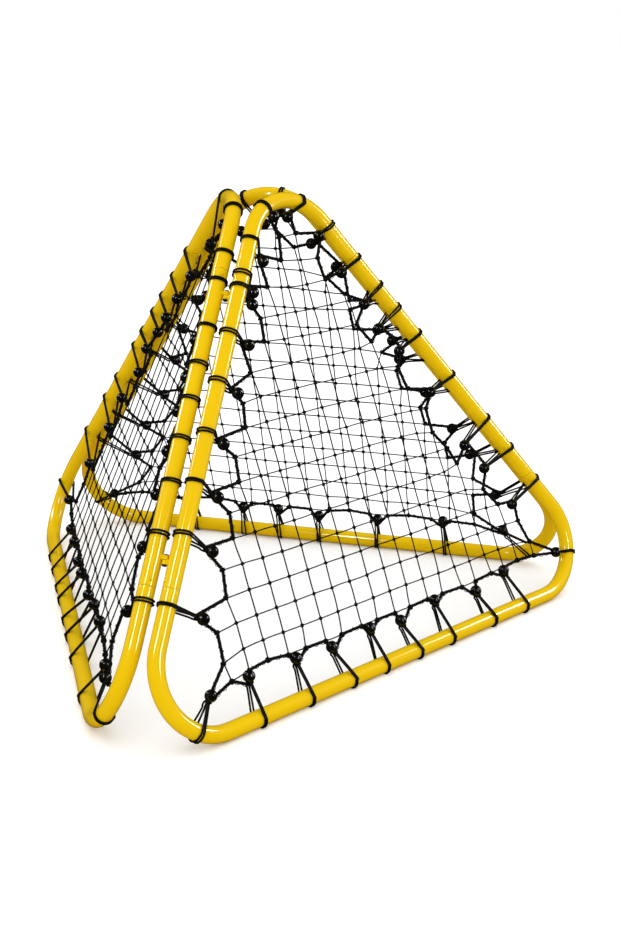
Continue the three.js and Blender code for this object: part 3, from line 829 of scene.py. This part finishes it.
def solve_net(name, crests):
    """Net knots and border rope pulled into balance between the bungees.
    Returns knot positions, twine pairs and the rope's closed list of positions."""
    x0, y0 = BUNGEES[name]["net"]
    extra = BUNGEES[name].get("extra", ())
    inside = {}
    for j in range(NET_ROWS):
        for i in range(-NET_COLUMNS, NET_COLUMNS + 1):
            point = np.array([x0 + i * NET_PITCH, y0 + j * NET_PITCH, 0.0])
            if fits_net(point, BUNGEES[name]) or (i, j) in extra:
                inside[(i, j)] = point
    spans = {}
    for i, j in inside:
        low, high = spans.get(j, (i, i))
        spans[j] = (min(low, i), max(high, i))
    order = sorted(spans)
    loop = [(i, order[0]) for i in range(spans[order[0]][0], spans[order[0]][1] + 1)]
    loop += [(spans[j][1], j) for j in order[1:]]
    top = order[-1]
    loop += [(i, top) for i in range(spans[top][1] - 1, spans[top][0] - 1, -1)]
    loop += [(spans[j][0], j) for j in reversed(order[1:-1])]
    keys = sorted(inside)
    number = {key: k for k, key in enumerate(keys)}
    free = len(keys)
    rope = [("knot", number[key]) for key in loop]
    start = np.array([inside[key] for key in keys])
    crests = np.array(crests)

    def rope_position(entry):
        return start[entry[1]] if entry[0] == "knot" else crests[entry[1]]

    for c, crest in enumerate(crests):
        best = None
        for k in range(len(rope)):
            a, b = rope_position(rope[k]), rope_position(rope[(k + 1) % len(rope)])
            detour = np.linalg.norm(crest - a) + np.linalg.norm(crest - b) - np.linalg.norm(a - b)
            if best is None or detour < best[0]:
                best = (detour, k)
        rope.insert(best[1] + 1, ("crest", c))
    stretches = list(zip(rope, rope[1:] + rope[:1]))
    lashed = {frozenset((a[1], b[1])) for a, b in stretches if a[0] == b[0] == "knot"}
    twines = []
    for i, j in keys:
        for other in ((i + 1, j), (i, j + 1)):
            if other in inside and frozenset((number[(i, j)], number[other])) not in lashed:
                twines.append((number[(i, j)], number[other]))
    on_rope = {entry[1] for entry in rope if entry[0] == "knot"}
    matrix = np.zeros((free, free))
    pull = np.zeros((free, 3))
    rng = np.random.default_rng(len(name))
    for k in range(free):
        matrix[k, k] += NET_HOLD
        pull[k] += NET_HOLD * (start[k] + rng.normal(0, KNOT_SCATTER, 3))

    def tie(a, b, force):
        for (kind, k), other in ((a, b), (b, a)):
            if kind != "knot":
                continue
            matrix[k, k] += force
            if other[0] == "knot":
                matrix[k, other[1]] -= force
            else:
                pull[k] += force * crests[other[1]]

    for a, b in twines:
        tie(("knot", a), ("knot", b), TWINE_PULL)
    for a, b in stretches:
        tie(a, b, ROPE_PULL)
    knots = np.linalg.solve(matrix, pull)
    rope_points = np.array([knots[k] if kind == "knot" else crests[k] for kind, k in rope])
    return knots, twines, on_rope, rope_points


def knot_shape(size, turn):
    """Centre line of a small three-lobed loop, for a knot that lies in the net's plane."""
    angle = np.arange(18) * 2 * math.pi / 18
    radius = size * (1 + 0.45 * np.cos(3 * angle))
    x, y = radius * np.cos(2 * angle + turn), radius * np.sin(2 * angle + turn)
    return np.stack([x, y, size * 0.5 * np.sin(3 * angle)], 1)


def add_net(name, body, place, knots, twines, on_rope):
    skin = Skin()
    rng = np.random.default_rng(7 + len(name))
    for a, b in twines:
        start, end = knots[a], knots[b]
        bow = rng.normal(0, TWINE_BOW, 3)
        share = np.linspace(0, 1, 6)
        arch = 4 * share * (1 - share)
        points = start + (end - start) * share[:, None] + bow * arch[:, None]
        sweep(skin, points, TWINE_RADIUS, TWINE_SIDES, Z_AXIS)
    for k, knot in enumerate(knots):
        if k not in on_rope:
            loops = knot_shape(KNOT_SIZE, rng.uniform(0, 6))
            sweep(skin, knot + loops, TWINE_RADIUS * 1.1, TWINE_SIDES, Z_AXIS, looped=True)
    make_piece(f"{name}_net_twine", skin, TWINE, body, [f"{name}_net"], place)


def smooth_loop(points, step, window):
    """A closed polyline resampled at even steps with its kinks eased."""
    closed = np.concatenate([points, points[:1]])
    along = lengths_along(closed)
    number = int(along[-1] / step)
    at = np.arange(number) * along[-1] / number
    even = np.stack([np.interp(at, along, closed[:, k]) for k in range(3)], 1)
    total = np.zeros_like(even)
    for shift in range(-window, window + 1):
        total += np.roll(even, shift, 0)
    return total / (2 * window + 1), along[-1]


def add_border(name, body, place, rope_points, knots, on_rope):
    """Three-strand rope with a thin lashing round it, and the twine that ties the net's
    outer knots to it."""
    skin = Skin()
    path, length = smooth_loop(rope_points, ROPE_STEP, 3)
    _, normals, binormals = carried_frames(path, Z_AXIS, looped=True)
    number = len(path)
    steps = np.arange(number)

    def around(angle):
        return normals * np.cos(angle)[:, None] + binormals * np.sin(angle)[:, None]

    turns = round(length / ROPE_LAY)
    for strand in range(3):
        angle = 2 * math.pi * (steps * turns / number + strand / 3)
        offset = around(angle) * (ROPE_RADIUS - STRAND_RADIUS)
        sweep(skin, path + offset, STRAND_RADIUS, 6, Z_AXIS, looped=True)
    turns = round(length / LASHING_LAY)
    wobble = 1 + sum(share * np.sin(steps * turn) for share, turn in LASHING_WOBBLE)
    offset = around(-2 * math.pi * steps * turns / number) * (ROPE_RADIUS + LASHING_RISE)
    sweep(skin, path + offset * wobble[:, None], LASHING_RADIUS, 5, Z_AXIS, looped=True)
    rng = random.Random(3)
    for k in sorted(on_rope):
        i = int(np.argmin(np.linalg.norm(path - knots[k], axis=1)))
        for turn in range(2):
            j = (i + (turn * 2 - 1)) % number
            angle = np.arange(14) * 2 * math.pi / 14
            radius = ROPE_RADIUS + TWINE_RADIUS * rng.uniform(0.6, 0.9)
            ring = normals[j] * np.cos(angle)[:, None] + binormals[j] * np.sin(angle)[:, None]
            sweep(skin, path[j] + ring * radius, TWINE_RADIUS, 6, normals[j], looped=True)
    replaced = [f"{name}_net_border"]
    make_piece(f"{name}_border_rope", skin, ROPE, body, replaced, place)


def smooth_path(points, steps):
    """Catmull-Rom curve through the points."""
    points = np.asarray(points, float)
    padded = np.concatenate([[2 * points[0] - points[1]], points, [2 * points[-1] - points[-2]]])
    result = []
    for a, b, c, d in zip(padded, padded[1:], padded[2:], padded[3:]):
        for i in range(steps):
            t = i / steps
            result.append(0.5 * (2 * b + (c - a) * t + (2 * a - 5 * b + 4 * c - d) * t**2
                                 + (3 * b - 3 * c + d - a) * t**3))
    result.append(points[-1])
    return np.array(result)


def tangent_angle(distance, drop):
    """Angle on the tube, from the way in, at which a cord from a point leaves the tube."""
    reach = math.hypot(distance, drop)
    return math.atan2(drop, distance) + math.acos(min(1.0, CORD_GRIP / reach))


# A strand beside its ball: gap from the ball's surface, height above the front or the back
# strand, and distance sideways in cord radii.
FRONT_SPOTS = ((-0.002, 0.0, 0.9), (0.006, 0.0, 0.95))
BACK_SPOTS = ((0.016, 0.0, 1.4), (0.006, -0.0005, 1.5), (-0.0005, 0.004, 1.9))
HOOK_SPOTS = ((-0.0015, -0.004, 2.2), (0.0005, 0.0015, 1.9), (0.002, 0.0035, 0.6))
WRAP_POINTS = 11
FRONT_SPREADS = (0.90, 0.90, 0.95, 1.0, 1.7)  # in cord radii: a few strands stand apart
BACK_SPREAD = (1.0, 2.2)
BACK_SLIP = 0.002
CURVE_STEPS = 4


def add_cord(skin, wrap, ball, front, shift, rng):
    """One strand of a bungee: from the ball over the tube, round it, behind the rope and
    back up to hook over the ball's neck."""
    centre, along, inward = on_tube(wrap)
    toward = unit(centre - ball)
    across = np.cross(Z_AXIS, toward)
    across = across * math.copysign(shift, across @ along * shift)
    distance = (ball - centre) @ inward
    back = front - 2 * CREST_DROP
    start_angle = tangent_angle(distance - BALL_RADIUS, front)
    end_angle = tangent_angle(distance - BALL_RADIUS, -back)
    front_shift = shift * CORD_RADIUS * rng.choice(FRONT_SPREADS)
    back_shift = shift * CORD_RADIUS * rng.uniform(*BACK_SPREAD)
    back_shift += rng.uniform(-BACK_SLIP, BACK_SLIP)

    def beside_ball(level, spots):
        for gap, height, sideways in spots:
            spot = ball + toward * (BALL_RADIUS + gap) + Z_AXIS * (level + height)
            yield spot + across * CORD_RADIUS * sideways

    points = list(beside_ball(front, FRONT_SPOTS))
    for i in range(WRAP_POINTS):
        share = i / (WRAP_POINTS - 1)
        angle = start_angle + (2 * math.pi - start_angle - end_angle) * share
        spoke = inward * CORD_GRIP * math.cos(angle) + Z_AXIS * CORD_GRIP * math.sin(angle)
        points.append(centre + spoke + along * (front_shift * (1 - share) + back_shift * share))
    points += [*beside_ball(back, BACK_SPOTS), *beside_ball(front, HOOK_SPOTS)]
    sweep(skin, smooth_path(points, CURVE_STEPS), CORD_RADIUS, CORD_SIDES, Z_AXIS + along * 0.1)


# Outline (radius, height) of the ball's collar and of the ridge of its seam.
COLLAR = [(0.0002, -0.0105), (0.0030, -0.0110), (0.0033, -0.0143), (0.0044, -0.0147), (0.0052, -0.0141)]
RIDGE_PROUD = BALL_RADIUS + 0.00018
RIDGE = [(BALL_RADIUS, -0.0005), (RIDGE_PROUD, -0.0002), (RIDGE_PROUD, 0.0002), (BALL_RADIUS, 0.0005)]


def ball_profile():
    """Half outline of a moulded ball with a seam ridge and a collar where the cord enters."""
    profile = list(COLLAR)
    for angle in np.radians(np.linspace(-64, 89, 14)):
        profile.append((BALL_RADIUS * math.cos(angle), BALL_RADIUS * math.sin(angle)))
    below = [p for p in profile if p[1] < -0.0007]
    above = [p for p in profile if p[1] > 0.0007]
    return below + RIDGE + above


BALL_PROFILE = ball_profile()


def add_ball(skin, wrap, ball, front):
    centre, along, _ = on_tube(wrap)
    position = ball + Z_AXIS * front
    pull = unit(position - centre)
    lathe(skin, BALL_PROFILE, basis(position, np.cross(pull, Z_AXIS) + along * 0.01, pull), SMALL_SIDES)


def lift_off_floor(skin):
    """Flattens what would lie below the floor. The panels lean, so up is a slanting way."""
    up = np.array([0.0, math.cos(LEAN), math.sin(LEAN)])
    for points in skin.points:
        height = points @ up + TUBE_RADIUS
        points += np.maximum(FLOOR_GAP - height, 0)[:, None] * up


def add_bungees(name, body, place, ties):
    front = BUNGEES[name]["front"]
    for group in ("base", "left", "right"):
        cords, balls = Skin(), Skin()
        rng = random.Random(f"{name} {group}")
        for tied, wrap, ball in ties:
            if tied != group:
                continue
            for shift in (-1, 1):
                add_cord(cords, wrap, ball, front, shift, rng)
            add_ball(balls, wrap, ball, front)
        lift_off_floor(cords)
        make_piece(f"{name}_{group}_bungee_cords", cords, CORD, body, (), place)
        make_piece(f"{name}_{group}_bungee_balls", balls, BALL, body, (), place)


# ---------------------------------------------------------------- assembly


def panel_place(name, feet):
    """Matrix of a panel: X along its bottom rail, Y up the panel, Z outward."""
    foot = feet[name]
    middle = sum(feet.values(), Vector()) / len(feet)
    outward = (foot - middle).normalized()
    z_axis = outward * math.cos(LEAN) + Vector((0, 0, math.sin(LEAN)))
    return basis(foot + Vector((0, 0, TUBE_RADIUS)), (-outward.y, outward.x, 0), z_axis)


PANELS = ("front_right", "front_left", "rear")
feet = {}
for mount in frame["record"]["mounts"]:
    for panel in PANELS:
        if mount["name"] == f"{panel}_rest":
            feet[panel] = Vector(mount["pos_m"])
places = {panel: panel_place(panel, feet) for panel in PANELS}

for panel in PANELS:
    body, place = f"{panel}_panel", places[panel]
    add_lower_tube(panel, body, place)
    add_crown_tube(panel, body, place)
    for side_name in SIDES:
        add_side_tube(panel, side_name, body, place)
        for level in ("lower", "upper"):
            add_button(panel, level, side_name, place)
    ties = bungee_places(panel)
    crests = [crest_of(wrap, ball, BUNGEES[panel]["front"]) for _, wrap, ball in ties]
    knots, twines, on_rope, rope_points = solve_net(panel, crests)
    add_net(panel, body, place, knots, twines, on_rope)
    add_border(panel, body, place, rope_points, knots, on_rope)
    add_bungees(panel, body, place, ties)

# Each edge's left and right panel, seen from outside, and whether its pins are drawn.
EDGES = {
    "front": ("front_left", "front_right", False),
    "right": ("front_right", "rear", False),
    "left": ("rear", "front_left", True),
}
for edge, (left_panel, right_panel, drawn) in EDGES.items():
    for level, distance in (("lower", HINGE_LOWER), ("upper", HINGE_UPPER)):
        node = f"{edge}_edge_{level}_hinge"
        left_place, right_place = places[left_panel], places[right_panel]
        add_knuckle(f"{node}_knuckle_left", 1, distance, 1, f"{left_panel}_panel", left_place)
        add_knuckle(f"{node}_knuckle_right", -1, distance, -1, f"{right_panel}_panel", right_place)
        pin_panel, pin_side = (left_panel, 1) if drawn else (right_panel, -1)
        add_pin(f"{node}_pin", pin_side, distance, drawn, f"{pin_panel}_panel", places[pin_panel])


# ---------------------------------------------------------------- studio


def pick_by_ray(tree, ray, yes, no):
    """A colour for one kind of ray and another for the rest."""
    path = tree.nodes.new("ShaderNodeLightPath")
    mix = tree.nodes.new("ShaderNodeMix")
    mix.data_type = "RGBA"
    for name, value in (("A", no), ("B", yes)):
        if isinstance(value, tuple):
            mix.inputs[name].default_value = (*value, 1.0)
        else:
            tree.links.new(value, mix.inputs[name])
    tree.links.new(path.outputs[ray], mix.inputs["Factor"])
    return mix.outputs["Result"]


def add_floor():
    """Pale to the camera, with a warm bounce on the part and dark in its reflections."""
    mesh = bpy.data.meshes.new("floor")
    corners = [(x * FLOOR_HALF, y * FLOOR_HALF, 0) for x, y in ((-1, -1), (1, -1), (1, 1), (-1, 1))]
    mesh.from_pydata(corners, [], [(0, 1, 2, 3)])
    material, tree, shader = new_material("studio_floor")
    bounced = pick_by_ray(tree, "Is Diffuse Ray", (0.80, 0.74, 0.60), (0.02, 0.02, 0.02))
    color = pick_by_ray(tree, "Is Camera Ray", (0.93, 0.93, 0.93), bounced)
    tree.links.new(color, shader.inputs["Base Color"])
    glow = pick_by_ray(tree, "Is Camera Ray", (0.11, 0.11, 0.11), (0.0, 0.0, 0.0))
    tree.links.new(glow, shader.inputs["Emission Color"])
    preset(shader, {"Emission Strength": 1.0, "Roughness": 0.9, "Specular IOR Level": 0.0})
    mesh.materials.append(material)
    new_object("floor", mesh)


def add_world():
    """White behind the part, a soft fill on it, and dark in its reflections."""
    world = bpy.data.worlds.new("studio")
    world.use_nodes = True
    tree = world.node_tree
    fill = pick_by_ray(tree, "Is Diffuse Ray", (1.17, 1.17, 1.17), (0.015, 0.015, 0.015))
    seen = pick_by_ray(tree, "Is Camera Ray", (1.0, 1.0, 1.0), fill)
    tree.links.new(seen, tree.nodes["Background"].inputs["Color"])
    bpy.context.scene.world = world


def add_lamp(name, light, place, target, length_way):
    """A lamp at a place that faces a target, with its own Y axis near a given way."""
    lamp = new_object(name, light)
    back = unit(np.array(place) - np.array(target))
    lamp.matrix_world = basis(place, np.cross(length_way, back), back)
    return lamp


def add_softbox(name, place, target, lit_tube, size, radiance):
    """A panel that shows as a bright line on the glossy tubes that run its way."""
    panel, side = lit_tube
    tube_way = places[panel].to_3x3() @ Vector(side_direction(side))
    light = bpy.data.lights.new(name, "AREA")
    light.shape = "RECTANGLE"
    light.size, light.size_y = size
    light.energy = radiance * math.pi * size[0] * size[1]
    lamp = add_lamp(name, light, place, target, tube_way)
    lamp.visible_diffuse = False


# Place, target, the tube that it lights (panel and side), size and radiance.
FRONT_TUBE = ("front_right", -1)
SOFTBOXES = {
    "right_softbox": ((2.33, -1.07, 1.33), (0.03, -0.6, 0.2), FRONT_TUBE, (0.16, 0.9), 60),
    "left_softbox": ((-0.70, -2.05, 2.1), (0.03, -0.6, 0.2), FRONT_TUBE, (0.16, 0.9), 60),
    "right_back_softbox": ((3.65, 2.15, 2.02), (0.34, 0.32, 0.7), ("front_right", 1), (0.80, 1.8), 24),
    "left_back_softbox": ((-3.54, 0.25, 2.46), (0.0, -0.2, 0.7), ("rear", 1), (0.60, 1.8), 22),
}


def add_sun(name, place, strength, spread_angle):
    light = bpy.data.lights.new(name, "SUN")
    light.energy = strength
    light.angle = math.radians(spread_angle)
    lamp = add_lamp(name, light, place, (0, 0, 0), (0, 1, 0))
    lamp.visible_glossy = False


def add_camera():
    camera = bpy.data.cameras.new("camera")
    camera.sensor_fit = "VERTICAL"
    camera.sensor_height = CAMERA_SENSOR
    camera.lens = CAMERA_LENS
    holder = new_object("camera", camera)
    turn = Matrix.Rotation(CAMERA_HEADING, 4, "Z") @ Matrix.Rotation(math.pi / 2 + CAMERA_PITCH, 4, "X")
    holder.matrix_world = Matrix.Translation(CAMERA_PLACE) @ turn @ Matrix.Rotation(CAMERA_ROLL, 4, "Z")
    bpy.context.scene.camera = holder


add_floor()
add_world()
add_sun("overhead", (0.3, -0.1, 3.0), 0.40, 80)
for name, how in SOFTBOXES.items():
    add_softbox(name, *how)
add_camera()
bpy.context.scene.view_settings.view_transform = "Standard"
